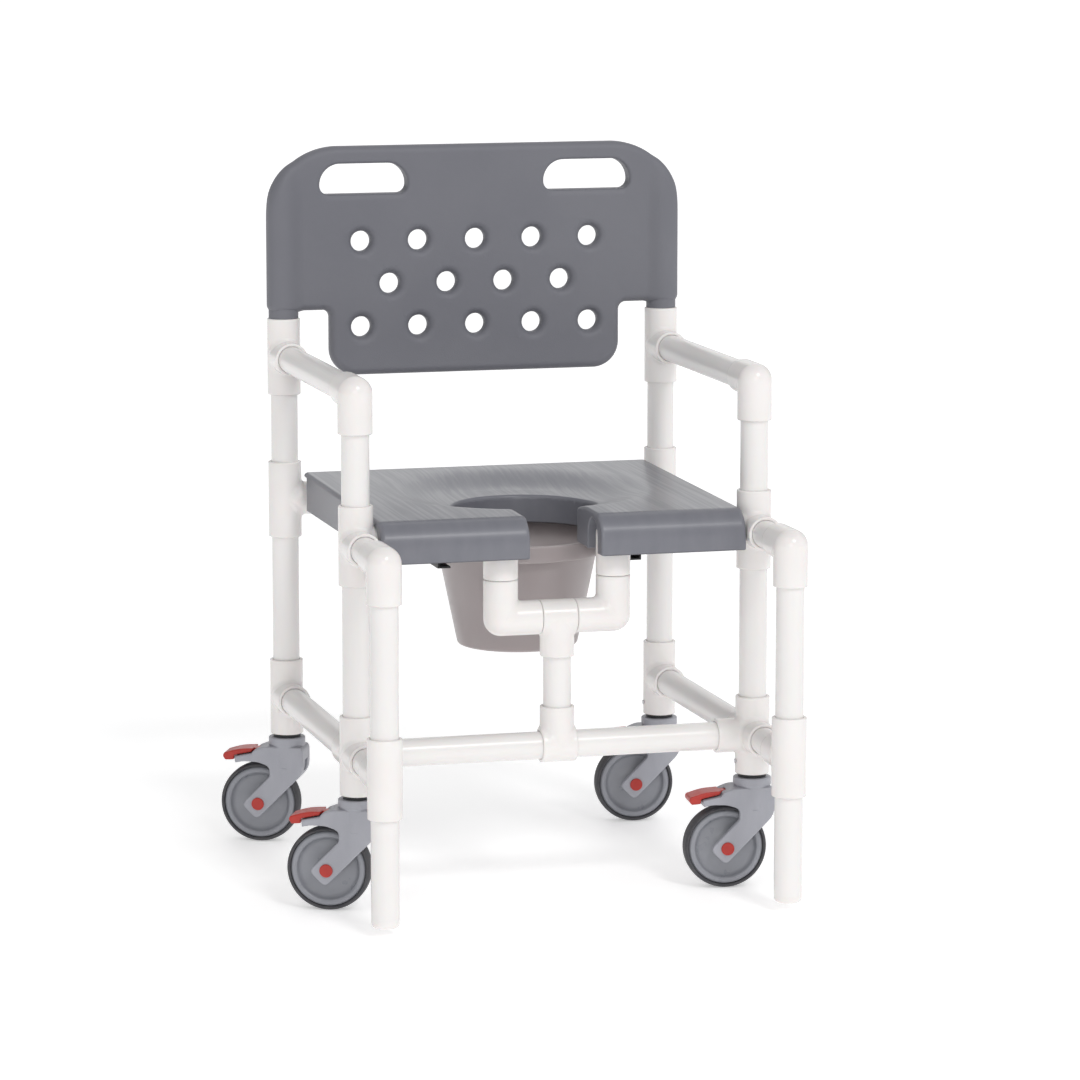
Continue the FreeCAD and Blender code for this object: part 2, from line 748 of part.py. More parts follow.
def back_outline():
    half, thick = size("back_half_width"), size("back_thickness")
    near, far = rear_y - 0.5 * thick, rear_y + 0.5 * thick
    top, wing_bottom, tongue_bottom = size("back_top"), size("wing_bottom"), size("tongue_bottom")
    wide = half + size("back_corner_overhang")
    blank = block("back_wings_blank", [-wide, near, wing_bottom], [wide, far, top])
    arched = round_edges("back_top_corners", blank, size("back_corner"),
                         lambda edge: across(edge) and edge.BoundBox.ZMin > top.value - 1)
    wings = cut("back_wings", arched, *[
        block(f"back_{name}_trim", [left_x, near - MARGIN, wing_bottom - MARGIN],
              [right_x, far + MARGIN, top + MARGIN])
        for name, (left_x, right_x) in sides(half, wide + MARGIN).items()
    ])
    tongue_half = size("tongue_half_width")
    tongue = block("back_tongue", [-tongue_half, near, tongue_bottom], [tongue_half, far, wing_bottom + 50])
    panel = fuse("back_blank", [wings, tongue])

    def at_side(box):
        return abs(box.XMin) > half.value - 1

    def at_step(box):
        return abs(box.ZMin - wing_bottom.value) < 1

    corners = [
        ("back_shoulders", "back_shoulder", lambda box: at_side(box) and not at_step(box)),
        ("back_tongue_corners", "tongue_corner", lambda box: box.ZMax < tongue_bottom.value + 1),
        ("back_step_corners", "step_corner", lambda box: at_step(box) and not at_side(box)),
        ("back_wing_corners", "step_corner", lambda box: at_step(box) and at_side(box)),
    ]
    for name, radius, where in corners:
        panel = round_edges(name, panel, size(radius),
                            lambda edge, w=where: across(edge) and w(edge.BoundBox))
    rim = (near.value, far.value)

    def on_rim(edge):
        box = edge.BoundBox
        return box.YLength < 0.01 and min(abs(box.YMin - y) for y in rim) < 0.01

    return round_edges("back_panel", panel, size("back_edge"), on_rim)


def hand_slot():
    depth = size("back_thickness") + 40
    near = rear_y - 0.5 * depth
    centre, bottom = size("slot_centre"), size("slot_bottom")
    reach = 0.5 * size("slot_length")
    opening = block("hand_slot_blank", [centre - reach, near, bottom],
                    [centre + reach, near + depth, bottom + size("slot_height")])
    upper = round_edges("hand_slot_upper", opening, size("slot_upper_corner"),
                        lambda edge: across(edge) and edge.BoundBox.ZMin > bottom.value + 10)
    return round_edges("hand_slot", upper, size("slot_lower_corner"),
                       lambda edge: across(edge) and edge.BoundBox.ZMax < bottom.value + 1)


def hole_spots():
    pitch, row_gap = size("hole_pitch"), size("hole_row_gap")
    return [((column - 0.5 * (count - 1)) * pitch, size("hole_middle_row") + row * row_gap)
            for row, count in ((1, 5), (0, 4), (-1, 5)) for column in range(count)]


def flared_holes():
    """Drain holes in three staggered rows, each one opened out on both faces."""
    radius, wide, depth = size("hole_radius"), size("flare_radius"), size("flare_depth")
    near, far = rear_y - 0.5 * size("back_thickness"), rear_y + 0.5 * size("back_thickness")
    tools = []
    for number, (x, z) in enumerate(hole_spots()):
        label = f"hole_{number}"
        tools.append(cylinder(label, radius, 80, [x, rear_y - 40, z], "back"))
        tools.append(cone(f"{label}_front", wide, radius, depth, [x, near, z], "back"))
        tools.append(cone(f"{label}_rear", wide, radius, depth, [x, far, z], "front"))
    return fuse("back_holes", tools)


def build_backrest():
    panel = back_outline()
    radius, top = size("sleeve_radius"), size("sleeve_top")
    wing_bottom, neck_bottom = size("wing_bottom"), size("neck_bottom")
    sleeve = cylinder("sleeve", radius, top - wing_bottom, [half_width, rear_y, wing_bottom])
    dome = ball("sleeve_dome", radius, [half_width, rear_y, top])
    neck = cylinder("sleeve_neck", size("neck_outer"), wing_bottom + 20 - neck_bottom,
                    [half_width, rear_y, neck_bottom])
    column = fuse("sleeve_column", [sleeve, dome, neck])
    bore_start = neck_bottom - MARGIN
    bore = cylinder("sleeve_bore_tool", size("sleeve_bore"), size("sleeve_bore_top") - bore_start,
                    [half_width, rear_y, bore_start])
    slot = hand_slot()
    solid = fuse("back_solid", [panel, column, mirrored("sleeve_column_twin", column)])
    bores = [bore, mirrored("sleeve_bore_twin", bore)]
    slots = [slot, mirrored("hand_slot_twin", slot)]
    shell = cut("back", solid, *bores, *slots, flared_holes())
    node("backrest", cut("back_moulded", shell, back_cavity()))


def back_cavity():
    """The closed hollow of the blow moulding, kept one wall away from every opening."""
    wall = size("back_wall")
    depth = 0.5 * size("back_thickness") - wall
    near, far = rear_y - depth, rear_y + depth
    reach = half_width - size("sleeve_radius") - 2 * wall
    slot_line = size("slot_bottom") - 2 * wall
    upper = block("back_cavity_upper", [-reach, near, size("wing_bottom") + 2 * wall],
                  [reach, far, slot_line])
    tongue_reach = size("tongue_half_width") - size("tongue_corner")
    lower = block("back_cavity_lower", [-tongue_reach, near, size("tongue_bottom") + 2 * wall],
                  [tongue_reach, far, size("wing_bottom") + 3 * wall])
    posts = [cylinder(f"hole_wall_{n}", size("flare_radius") + wall, 80, [x, rear_y - 40, z], "back")
             for n, (x, z) in enumerate(hole_spots())]
    return cut("back_cavity", fuse("back_cavity_blank", [upper, lower]), fuse("hole_walls", posts))


# ---------------------------------------------------------------- seat, rails and pail

def build_seat():
    """Seat: a moulded shell, dished round a keyhole opening and open underneath."""
    half, front, rear = size("seat_half_width"), -size("seat_front"), size("seat_rear")
    top, plate = size("seat_top"), size("plate_bottom")
    skirt, wall = size("skirt_bottom"), size("skirt_wall")
    lip_back, skirt_rear, lip_bottom = -size("lip_back"), size("skirt_rear"), size("lip_bottom")
    centre_y, dish_y, depth = -size("opening_centre"), -size("dish_centre"), size("dish_depth")
    opening, dish_radius = size("opening_radius"), size("dish_radius")

    sheet_top = block("seat_plate", [-half, front, plate], [half, rear, top])
    lip = block("seat_lip", [-half, front, lip_bottom], [half, lip_back, plate])
    blank = fuse("seat_front_block", [sheet_top, lip])

    def front_top(edge):
        box = edge.BoundBox
        return box.XLength > 500 and box.ZMin > top.value - 0.01 and box.YMax < front.value + 0.01

    doc.recompute()
    nose_edges = [n for n, edge in enumerate(blank.Shape.Edges, 1) if front_top(edge)]
    nose = doc.addObject("Part::Chamfer", "seat_nose")
    nose.Base = blank
    nose.Edges = [(n, size("nose_height").value, size("nose_depth").value) for n in nose_edges]

    throat_bottom = size("throat_bottom")
    bowl_bottom = plate - depth + 0.01
    walls = [
        cone("seat_bowl", opening + wall, dish_radius + wall, depth, [0, dish_y, bowl_bottom]),
        cylinder("seat_throat", opening + wall, top - throat_bottom - 5, [0, centre_y, throat_bottom]),
    ]
    for name, (left_x, right_x) in sides(half - wall, half).items():
        walls.append(block(f"seat_{name}_skirt", [left_x, lip_back, skirt], [right_x, skirt_rear, plate]))
    for name, (left_x, right_x) in sides(size("rib_inner"), size("rib_outer")).items():
        walls.append(block(f"seat_{name}_rib", [left_x, -size("rail_front"), size("rail_top")],
                           [right_x, size("rail_rear"), plate]))
    mouth_half = size("mouth_half_width")
    for name, (left_x, right_x) in sides(mouth_half, mouth_half + wall).items():
        walls.append(block(f"seat_{name}_cheek", [left_x, lip_back, throat_bottom],
                           [right_x, centre_y - 50, plate]))
    pad_bottom = seat_height + pipe_radius + 0.4
    for name, (left_x, right_x) in sides(size("pad_inner"), size("pad_outer")).items():
        walls.append(block(f"seat_{name}_pad", [left_x, skirt_rear, pad_bottom], [right_x, rear, plate]))
    walls.append(block("seat_rear_wall", [-half, skirt_rear - wall, skirt], [half, skirt_rear, plate]))
    solid = fuse("seat_solid", [nose] + walls)

    deep = size("through_length")
    hole_bottom, hole_top = top - 0.5 * deep, top + 0.5 * deep
    hole = cylinder("seat_opening", opening, deep, [0, centre_y, hole_bottom])
    mouth = block("seat_mouth", [-mouth_half, front - MARGIN, hole_bottom],
                  [mouth_half, centre_y, hole_top])
    keyhole = fuse("seat_keyhole", [hole, mouth])
    dish = cone("seat_dish", opening, dish_radius, depth + 0.01, [0, dish_y, top - depth])
    radius = size("channel_radius")
    arch = cylinder("seat_channel_arch", radius, 2 * half + 20, [-half - 10, front_y, seat_height], "left")
    legs = block("seat_channel_legs", [-half - 10, front_y - radius, lip_bottom - MARGIN],
                 [half + 10, front_y + radius, seat_height])
    channel = fuse("seat_channel", [arch, legs])
    shell = cut("seat", solid, dish, keyhole, channel)
    hollows = [block(f"seat_{name}_hollow", [left_x, front + wall, lip_bottom - MARGIN],
                     [right_x, front_y - radius - 0.5 * wall, top - size("nose_height") - wall])
               for name, (left_x, right_x) in sides(mouth_half + wall, half - wall).items()]
    holes = [screw_at(f"rail_hole_{n}", x, y, gap, head=False)
             for n, (x, y) in enumerate(rail_screw_spots())]
    node("seat_shell", cut("seat_drilled", shell, *hollows, fuse("rail_holes", holes)))


def rail_screw_spots():
    middle = 0.5 * (size("rail_inner") + size("rail_outer"))
    spacing = size("rail_screw_spacing")
    return [(side * middle, step * spacing) for side in (1, -1) for step in (-1, 0, 1)]


def screw_at(name, x, y, extra, head=True):
    """One rail screw, pointing up, or with extra radius the hole that it goes into."""
    seat = size("rail_top") - size("rail_wall")
    radius, length = size("rail_screw_radius"), size("rail_screw_length")
    shank = cylinder(f"{name}_shank", radius + extra, length, [x, y, seat])
    if not head:
        return shank
    cap = cylinder(f"{name}_head", size("rail_screw_head"), size("rail_wall"), [x, y, seat], "down")
    return fuse(name, [shank, cap])


def build_rails():
    inner, outer, wall = size("rail_inner"), size("rail_outer"), size("rail_wall")
    front, rear = -size("rail_front"), size("rail_rear")
    bottom, top = size("rail_bottom"), size("rail_top")
    shelf = block("rail_shelf", [inner, front, bottom], [outer, rear, bottom + wall])
    lip = block("rail_lip", [size("lip_reach"), -size("lip_front"), bottom], [outer, rear, bottom + wall])
    web = block("rail_web", [outer - wall, front, bottom], [outer, rear, top])
    flange = block("rail_flange", [inner, front, top - wall], [outer, rear, top])
    rail = fuse("rail_blank", [shelf, lip, web, flange])
    spots = rail_screw_spots()
    holes = [screw_at(f"flange_hole_{n}", x, y, gap, head=False)
             for n, (x, y) in enumerate(spots) if x.value > 0]
    pair("pail_rails", cut("rail", rail, fuse("flange_holes", holes)))
    screws = [screw_at(f"rail_screw_{n}", x, y, 0) for n, (x, y) in enumerate(spots)]
    node("rail_screws", *screws)


def build_pail():
    """Pail: a tapered bucket with a flat band turned down round its mouth."""
    top, bottom, wall = size("pail_top"), size("pail_bottom"), size("pail_wall")
    mouth, foot = size("pail_top_radius"), size("pail_bottom_radius")
    band, band_bottom = size("band_radius"), size("band_bottom")
    outside = [(0, bottom), (foot - 12, bottom), (foot - 4, bottom + 3), (foot, bottom + 12),
               (mouth, top - 3)]
    rim = [(band - wall - 0.5, top - 3), (band - wall - 3, band_bottom), (band - 2.5, band_bottom),
           (band, top - 1), (band - 1, top)]
    inside = [(mouth - wall, top), (foot - wall, bottom + 13), (foot - 13, bottom + wall),
              (0, bottom + wall)]
    pail = revolved("pail_turned", outside + rim + inside)
    placed = doc.addObject("Part::Compound", "pail_placed")
    placed.Links = [pail]
    place(placed, [-size("pail_offset"), -size("pail_setback"), 0])
    node("pail", placed)


# ---------------------------------------------------------------- assembly

def failed(thing):
    return any(state in ("Invalid", "Error") for state in thing.State)


def main():
    build_frame()
    build_front_drop()
    build_inserts()
    build_casters()
    build_backrest()
    build_seat()
    build_rails()
    build_pail()
    doc.recompute()
    broken = [thing.Name for thing in doc.Objects if failed(thing)]
    broken += [thing.Label for thing in NODES if thing.Shape.isNull() or not thing.Shape.isValid()]
    if broken:
        raise RuntimeError(f"failed objects: {broken}")
    os.makedirs("parts", exist_ok=True)
    for piece in NODES:
        piece.Shape.exportStep(f"parts/{piece.Label}.step")
        print(f"{piece.Label}: {len(piece.Shape.Solids)} solid(s), {piece.Shape.Volume / 1000:.1f} cm3")


main()
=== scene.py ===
import math

import bpy
import numpy as np
import openvdb
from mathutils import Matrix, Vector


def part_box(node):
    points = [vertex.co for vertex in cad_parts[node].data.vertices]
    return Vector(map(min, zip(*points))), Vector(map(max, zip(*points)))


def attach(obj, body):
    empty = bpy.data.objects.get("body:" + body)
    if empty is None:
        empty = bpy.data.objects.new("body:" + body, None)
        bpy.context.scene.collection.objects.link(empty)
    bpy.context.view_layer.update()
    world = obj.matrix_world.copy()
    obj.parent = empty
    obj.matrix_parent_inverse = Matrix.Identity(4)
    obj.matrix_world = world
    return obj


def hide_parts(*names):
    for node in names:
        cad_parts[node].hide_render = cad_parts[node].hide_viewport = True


# Looks of a shower and commode chair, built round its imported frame. The chair faces -Y,
# +Z is up and the origin is on the floor between the casters. Shapes are worked out in
# millimetres and turned into metres when a mesh is made.

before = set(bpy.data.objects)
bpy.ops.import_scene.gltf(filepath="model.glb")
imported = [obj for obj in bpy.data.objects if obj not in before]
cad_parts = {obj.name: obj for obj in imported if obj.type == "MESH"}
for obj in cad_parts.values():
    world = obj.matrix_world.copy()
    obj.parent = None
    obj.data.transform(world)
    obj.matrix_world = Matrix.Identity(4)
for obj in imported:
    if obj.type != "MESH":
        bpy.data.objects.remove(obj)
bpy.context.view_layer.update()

MM = 0.001
FAR = 1e6               # a distance beyond the whole chair, in millimetres
SLOPE_STEP = 0.05       # half the span over which a field's slope is taken
LEAST_STEEPNESS = 0.25  # keeps a point from jumping where a field is nearly level
ADAPTIVITY = 0.004      # how readily level areas merge into larger faces
CORNER_STEPS = 4        # straight pieces in a rounded corner of an outline
SEGMENTS = 128          # straight pieces round a turned shape


def box_mm(node):
    """Lowest and highest corner of a CAD node, in millimetres."""
    low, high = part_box(node)
    return np.array(low) / MM, np.array(high) / MM


# ---------------------------------------------------------------- distance fields
#
# A shape is a function of x, y and z whose value is the distance to the surface,
# negative inside. Arrays of points go in, arrays of distances come out.

def rounded_cut(a, b, radius):
    """What two shapes share, with the edge between them rounded."""
    corner = np.hypot(np.maximum(a + radius, 0), np.maximum(b + radius, 0))
    return np.minimum(-radius, np.maximum(a, b)) + corner


def rounded_join(a, b, radius):
    """Two shapes together, with a fillet where they meet."""
    corner = np.hypot(np.maximum(radius - a, 0), np.maximum(radius - b, 0))
    return np.maximum(radius, np.minimum(a, b)) - corner


def strip_end(u, v, half, end, radius):
    """A strip of half width half that ends at v = end with two rounded corners."""
    across = np.abs(u) - half + radius
    along = v - end + radius
    outside = np.hypot(np.maximum(across, 0), np.maximum(along, 0))
    return outside + np.minimum(np.maximum(across, along), 0) - radius


def rounded_rectangle(u, v, half, bottom, top, bottom_radius, top_radius):
    """A rectangle of half width half whose lower and upper corners have their own radii."""
    upper = strip_end(u, v, half, top, top_radius)
    lower = strip_end(u, -v, half, -bottom, bottom_radius)
    return np.maximum(upper, lower)


def slab(value, low, high):
    """The layer between low and high."""
    return np.abs(value - 0.5 * (low + high)) - 0.5 * (high - low)


def outline_distance(outline, u, v):
    """Distance to a closed outline in the plane, negative inside it."""
    nearest = np.full(np.broadcast(u, v).shape, FAR)
    inside = np.zeros(nearest.shape, bool)
    for index, end in enumerate(outline):
        start = outline[index - 1]
        along_u, along_v = end[0] - start[0], end[1] - start[1]
        share = (u - start[0]) * along_u + (v - start[1]) * along_v
        share = np.clip(share / (along_u ** 2 + along_v ** 2), 0, 1)
        gap_u, gap_v = u - start[0] - share * along_u, v - start[1] - share * along_v
        nearest = np.minimum(nearest, gap_u ** 2 + gap_v ** 2)
        straddles = (start[1] <= v) != (end[1] <= v)
        crossing = start[0] + (v - start[1]) * along_u / (along_v or 1e-9)
        inside ^= straddles & (u < crossing)
    return np.where(inside, -1, 1) * np.sqrt(nearest)


def eased(value):
    """0 below 0, 1 above 1 and a smooth S between."""
    share = np.clip(value, 0, 1)
    return share * share * (3 - 2 * share)


# ---------------------------------------------------------------- meshes

def slopes(field, points):
    """The field's value at each point and its slope there."""
    columns = []
    for axis in range(3):
        ahead, behind = points.copy(), points.copy()
        ahead[:, axis] += SLOPE_STEP
        behind[:, axis] -= SLOPE_STEP
        columns.append((field(*ahead.T) - field(*behind.T)) / (2 * SLOPE_STEP))
    return field(*points.T), np.stack(columns, axis=1)


def mesh_object(name, points, faces, normals=None):
    """A smooth-shaded object from points in millimetres."""
    mesh = bpy.data.meshes.new(name)
    mesh.from_pydata((np.asarray(points) * MM).tolist(), [], faces)
    mesh.validate()
    mesh.shade_smooth()
    if normals is not None:
        mesh.normals_split_custom_set_from_vertices(normals.tolist())
    made = bpy.data.objects.new(name, mesh)
    bpy.context.scene.collection.objects.link(made)
    return made


def field_surface(field, low, high, voxel):
    """Points, faces and normals of a field's zero surface, brought onto the true shape."""
    band = 3 * voxel
    low, high = np.array(low, float) - band, np.array(high, float) + band
    counts = np.ceil((high - low) / voxel).astype(int) + 1
    x, y, z = (low[axis] + voxel * np.arange(counts[axis]) for axis in range(3))
    values = field(x[:, None, None], y[None, :, None], z[None, None, :])
    grid = openvdb.FloatGrid(band)
    grid.copyFromArray(np.clip(values, -band, band).astype(np.float32))
    points, triangles, quads = grid.convertToPolygons(isovalue=0.0, adaptivity=ADAPTIVITY)
    points = low + points.astype(float) * voxel
    for _ in range(3):
        value, slope = slopes(field, points)
        steepness = np.maximum((slope ** 2).sum(axis=1), LEAST_STEEPNESS)
        move = np.clip(value / steepness, -0.5 * voxel, 0.5 * voxel)
        points = points - move[:, None] * slope
    _, slope = slopes(field, points)
    length = np.maximum(np.linalg.norm(slope, axis=1), 1e-6)
    return points, triangles.tolist() + quads.tolist(), slope / length[:, None]


def joined_surfaces(surfaces):
    """Several surfaces as one."""
    points, faces, normals, count = [], [], [], 0
    for some_points, some_faces, some_normals in surfaces:
        points.append(some_points)
        normals.append(some_normals)
        faces += [[count + corner for corner in face] for face in some_faces]
        count += len(some_points)
    return np.concatenate(points), faces, np.concatenate(normals)


def mirror_image(surface):
    """The same surface on the other side of the chair."""
    points, faces, normals = surface
    flip = np.array([-1.0, 1.0, 1.0])
    return points * flip, [face[::-1] for face in faces], normals * flip


def softened(outline, radii):
    """An outline whose corners are rounded, each to its own radius."""
    points = [np.array(point, float) for point in outline]
    result = []
    for index, corner in enumerate(points):
        to_before = points[index - 1] - corner
        to_after = points[(index + 1) % len(points)] - corner
        before_length, after_length = np.linalg.norm(to_before), np.linalg.norm(to_after)
        reach = min(radii[index], 0.45 * before_length, 0.45 * after_length)
        if reach < 1e-3:
            result.append(corner)
            continue
        start = corner + to_before / before_length * reach
        end = corner + to_after / after_length * reach
        for step in range(CORNER_STEPS + 1):
            share = step / CORNER_STEPS
            inner = (1 - share) * start + share * corner
            outer = (1 - share) * corner + share * end
            result.append((1 - share) * inner + share * outer)
    return result


def turned_surface(outline):
    """Points and faces of a closed outline of (radius, height) turned about Z."""
    radius = np.array([point[0] for point in outline])
    height = np.array([point[1] for point in outline])
    angle = np.linspace(0, 2 * math.pi, SEGMENTS, endpoint=False)
    x = radius[None, :] * np.cos(angle)[:, None]
    y = radius[None, :] * np.sin(angle)[:, None]
    z = np.broadcast_to(height, x.shape)
    points = np.stack([x, y, z], axis=-1).reshape(-1, 3)
    count = len(outline)
    faces = []
    for turn in range(SEGMENTS):
        here, there = turn * count, ((turn + 1) % SEGMENTS) * count
        for index in range(count):
            after = (index + 1) % count
            faces.append((here + index, there + index, there + after, here + after))
    return points, faces


# ---------------------------------------------------------------- materials

class Shader:
    """A material's node tree, put together with short calls."""

    def __init__(self, name):
        self.material = bpy.data.materials.new(name)
        self.material.use_nodes = True
        self.tree = self.material.node_tree
        self.surface = self.tree.nodes["Principled BSDF"]
        self.coordinates = self.tree.nodes.new("ShaderNodeTexCoord").outputs["Object"]

    def connect(self, node, **inputs):
        """Set sockets by name. An underscore stands for a space, and a digit picks by number."""
        for name, value in inputs.items():
            key = int(name[1:]) if name[0] == "n" and name[1:].isdigit() else name.replace("_", " ")
            if isinstance(value, bpy.types.NodeSocket):
                self.tree.links.new(value, node.inputs[key])
            else:
                node.inputs[key].default_value = value
        return node

    def noise(self, scale, detail=3.0, stretch=(1, 1, 1)):
        """Noise with this many features to the metre, drawn out where stretch is below 1."""
        mapping = self.tree.nodes.new("ShaderNodeMapping")
        self.connect(mapping, Vector=self.coordinates, Scale=stretch)
        node = self.tree.nodes.new("ShaderNodeTexNoise")
        self.connect(node, Vector=mapping.outputs[0], Scale=scale, Detail=detail)
        return node.outputs["Fac"]

    def facing_up(self):
        """1 on faces that look straight up and 0 on the others."""
        normal = self.tree.nodes.new("ShaderNodeTexCoord").outputs["Normal"]
        parts = self.connect(self.tree.nodes.new("ShaderNodeSeparateXYZ"), Vector=normal)
        return self.ramp(parts.outputs["Z"], 0.0, 1.0, 0.93, 0.98)

    def times(self, first, second):
        """The product of two sockets."""
        node = self.tree.nodes.new("ShaderNodeMath")
        node.operation = "MULTIPLY"
        self.connect(node, n0=first, n1=second)
        return node.outputs[0]

    def ramp(self, factor, low, high, start=0.3, end=0.7):
        """Map start..end of a factor to low..high, which are numbers or colours."""
        node = self.tree.nodes.new("ShaderNodeMapRange")
        if isinstance(low, (int, float)):
            self.connect(node, Value=factor, From_Min=start, From_Max=end, To_Min=low, To_Max=high)
            return node.outputs["Result"]
        self.connect(node, Value=factor, From_Min=start, From_Max=end)
        return self.mix(node.outputs["Result"], low, high)

    def mix(self, factor, first, second):
        """A colour between first and second."""
        node = self.tree.nodes.new("ShaderNodeMix")
        node.data_type = "RGBA"
        self.connect(node, n0=factor, n6=colour(first), n7=colour(second))
        return node.outputs[2]

    def bump(self, height, depth, strength=1.0, normal=None):
        """A normal bent by a height of 0 to 1 that stands for depth metres."""
        node = self.tree.nodes.new("ShaderNodeBump")
        self.connect(node, Height=height, Distance=depth, Strength=strength)
        if normal is not None:
            self.tree.links.new(normal, node.inputs["Normal"])
        return node.outputs["Normal"]

    def pebbles(self, scale):
        """Distance to the nearest of many scattered points, this many to the metre."""
        node = self.tree.nodes.new("ShaderNodeTexVoronoi")
        self.connect(node, Vector=self.coordinates, Scale=scale)
        return node.outputs["Distance"]

    def finish(self, **inputs):
        """Set the surface's sockets and return the material."""
        self.connect(self.surface, **inputs)
        return self.material


def colour(value):
    """A socket as it is, or three numbers as a colour."""
    return value if isinstance(value, bpy.types.NodeSocket) else (*value, 1.0)


def make_pipe_pvc(axis):
    """Extruded white pipe: long faint draw lines along its axis and a soft gloss."""
    shader = Shader(f"pvc_pipe_along_{axis}")
    stretch = tuple(0.02 if letter == axis else 1.0 for letter in "xyz")
    lines = shader.noise(300, detail=2, stretch=stretch)
    cloud = shader.noise(6, detail=2)
    tint = shader.ramp(cloud, (0.855, 0.825, 0.812), (0.872, 0.843, 0.830))
    return shader.finish(
        Base_Color=shader.mix(shader.ramp(lines, 0.0, 0.12), tint, (0.82, 0.79, 0.775)),
        Roughness=shader.ramp(lines, 0.23, 0.27, 0.4, 0.6),
        Specular_IOR_Level=0.5,
        Subsurface_Weight=0.08,
        Subsurface_Scale=0.01,
        Normal=shader.bump(lines, 0.000012),
    )


def make_fitting_pvc():
    """Moulded white fitting: a faint orange peel and slight flow marks."""
    shader = Shader("pvc_fitting")
    peel = shader.noise(260, detail=2)
    flow = shader.noise(16, detail=2)
    return shader.finish(
        Base_Color=shader.ramp(flow, (0.855, 0.820, 0.803), (0.880, 0.850, 0.835)),
        Roughness=shader.ramp(flow, 0.19, 0.26),
        Specular_IOR_Level=0.5,
        Subsurface_Weight=0.08,
        Subsurface_Scale=0.01,
        Normal=shader.bump(flow, 0.00012, normal=shader.bump(peel, 0.00002)),
    )


def make_back_plastic():
    """Blow-moulded polyethylene: a fine pebble grain with slow swells under it."""
    shader = Shader("blow_moulded_grey")
    grain = shader.pebbles(900)
    swell = shader.noise(7, detail=2)
    fine = shader.noise(1500, detail=2)
    normal = shader.bump(swell, 0.002, normal=shader.bump(grain, 0.0003, strength=0.5))
    base = shader.ramp(swell, (0.160, 0.162, 0.186), (0.178, 0.180, 0.203))
    return shader.finish(
        Base_Color=shader.mix(shader.ramp(fine, 0.0, 0.30), base, (0.140, 0.142, 0.163)),
        Roughness=shader.ramp(grain, 0.42, 0.56, 0.0, 0.6),
        Specular_IOR_Level=0.45,
        Normal=normal,
    )


def make_seat_plastic():
    """Moulded seat: satin, with fine streaks from front to rear on its top: rubbed marks, and painted
    sheen that lightens only the faces looking up.
    """
    shader = Shader("seat_grey")
    streaks = shader.noise(210, detail=2, stretch=(1, 0.02, 0.4))
    broad = shader.noise(40, detail=2, stretch=(1, 0.08, 0.5))
    grain = shader.noise(1300, detail=2)
    top = shader.facing_up()
    base = shader.ramp(broad, (0.172, 0.176, 0.203), (0.192, 0.195, 0.221))
    # Painted sheen: the streaks lighten the base colour only where faces look up, standing in for the
    # top's glossy reflection, over rubbed marks.
    rubbed_marks_and_top_sheen = shader.times(shader.ramp(streaks, 0.0, 0.45, 0.40, 0.65), top)
    return shader.finish(
        Base_Color=shader.mix(rubbed_marks_and_top_sheen, base, (0.26, 0.262, 0.28)),
        Roughness=shader.ramp(shader.times(streaks, top), 0.33, 0.28, 0.4, 0.6),
        Specular_IOR_Level=0.5,
        Normal=shader.bump(grain, 0.00003),
    )


def make_pail_plastic():
    """Warm grey pail: glossy, with hardly any mark on it."""
    shader = Shader("pail_grey")
    rings = shader.noise(120, detail=2, stretch=(0.02, 0.02, 1))
    cloud = shader.noise(9, detail=2)
    return shader.finish(
        Base_Color=shader.ramp(cloud, (0.375, 0.330, 0.332), (0.395, 0.350, 0.350)),
        Roughness=shader.ramp(rings, 0.28, 0.35),
        Subsurface_Weight=0.6,
        Subsurface_Radius=(1.0, 1.0, 1.0),
        Subsurface_Scale=0.02,
        Normal=shader.bump(rings, 0.00002),
    )


def make_black_plastic():
    """Black nylon of the rails and inserts, with a fine grain."""
    shader = Shader("black_nylon")
    grain = shader.noise(900, detail=3)
    return shader.finish(
        Base_Color=shader.ramp(grain, (0.012, 0.012, 0.014), (0.024, 0.024, 0.028)),
        Roughness=shader.ramp(grain, 0.38, 0.52),
        Normal=shader.bump(grain, 0.00008),
    )


def make_caster_plastic():
    """Glass-filled nylon of the forks: pale grey with a sparkle of fibre at the surface."""
    shader = Shader("caster_grey")
    grain = shader.noise(1100, detail=3)
    flow = shader.noise(60, detail=4, stretch=(1, 1, 0.4))
    base = shader.ramp(flow, (0.345, 0.350, 0.390), (0.375, 0.380, 0.420))
    return shader.finish(
        Base_Color=shader.mix(shader.ramp(grain, 0.0, 0.3, 0.5, 0.7), base, (0.44, 0.45, 0.47)),
        Roughness=shader.ramp(flow, 0.36, 0.48),
        Normal=shader.bump(grain, 0.00008),
    )


def make_wheel_plastic():
    """Nylon wheel: a darker grey than the fork, and smoother."""
    shader = Shader("wheel_grey")
    grain = shader.noise(1000, detail=3)
    cloud = shader.noise(40, detail=3)
    return shader.finish(
        Base_Color=shader.ramp(cloud, (0.255, 0.262, 0.290), (0.280, 0.287, 0.315)),
        Roughness=shader.ramp(cloud, 0.26, 0.36),
        Normal=shader.bump(grain, 0.00008),
    )


def make_red_plastic():
    """Red nylon of the pedals and axle caps."""
    shader = Shader("red_nylon")
    cloud = shader.noise(70, detail=3)
    grain = shader.noise(900, detail=2)
    return shader.finish(
        Base_Color=shader.ramp(cloud, (0.42, 0.026, 0.018), (0.46, 0.032, 0.022)),
        Roughness=shader.ramp(cloud, 0.28, 0.40),
        Normal=shader.bump(grain, 0.00006),
    )


def make_tyre_rubber():
    """Non-marking tyre: matt, with floor dust worked into the tread."""
    shader = Shader("grey_rubber")
    dust = shader.noise(90, detail=5)
    grain = shader.noise(1400, detail=3)
    return shader.finish(
        Base_Color=shader.ramp(dust, (0.055, 0.055, 0.062), (0.085, 0.084, 0.088), 0.35, 0.75),
        Roughness=shader.ramp(dust, 0.58, 0.75),
        Specular_IOR_Level=0.35,
        Normal=shader.bump(grain, 0.0001),
    )


